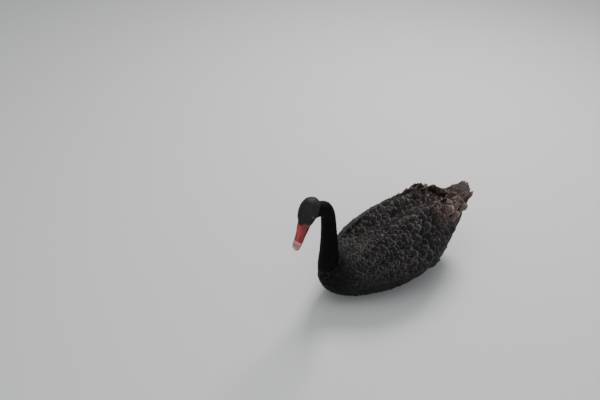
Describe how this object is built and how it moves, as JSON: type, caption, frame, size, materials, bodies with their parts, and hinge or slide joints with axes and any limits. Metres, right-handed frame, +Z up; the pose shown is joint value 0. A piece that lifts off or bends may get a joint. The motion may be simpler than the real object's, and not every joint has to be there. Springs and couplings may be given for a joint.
{
  "type": "black swan",
  "caption": "Life-size still model of a black swan sitting on its belly, neck upright, head bent down, wings folded with curled rear feathers.",
  "frame": {"origin": "middle of the whole box on the floor that the belly rests on", "axes": "+Z up, +Y towards the tail, +X to the bird's left; the head faces -Y"},
  "size_m": [0.267, 0.6896, 0.4166],
  "materials": {
    "plumage": "soft matte black-brown feathers with paler edges",
    "plumage_brown": "matte brownish tail and curled wing feathers",
    "plumage_white": "matte white flight feathers",
    "bill": "satin deep red bill with a pale band and nail",
    "eye": "wet dark red eye with a black pupil",
    "leg_skin": "matte dark grey scaled skin"
  },
  "bodies": {
    "root": {"trunk": "plumage", "neck_lower": "plumage", "neck_middle": "plumage", "neck_upper": "plumage", "head": "plumage", "wing_left": "plumage", "wing_right": "plumage", "tail": "plumage_brown", "primaries_left": "plumage_white", "primaries_right": "plumage_white", "eye_left": "eye", "eye_right": "eye", "bill_upper": "bill", "bill_lower": "bill", "leg_left": "leg_skin", "leg_right": "leg_skin", "foot_left": "leg_skin", "foot_right": "leg_skin"}
  },
  "joints": []
}
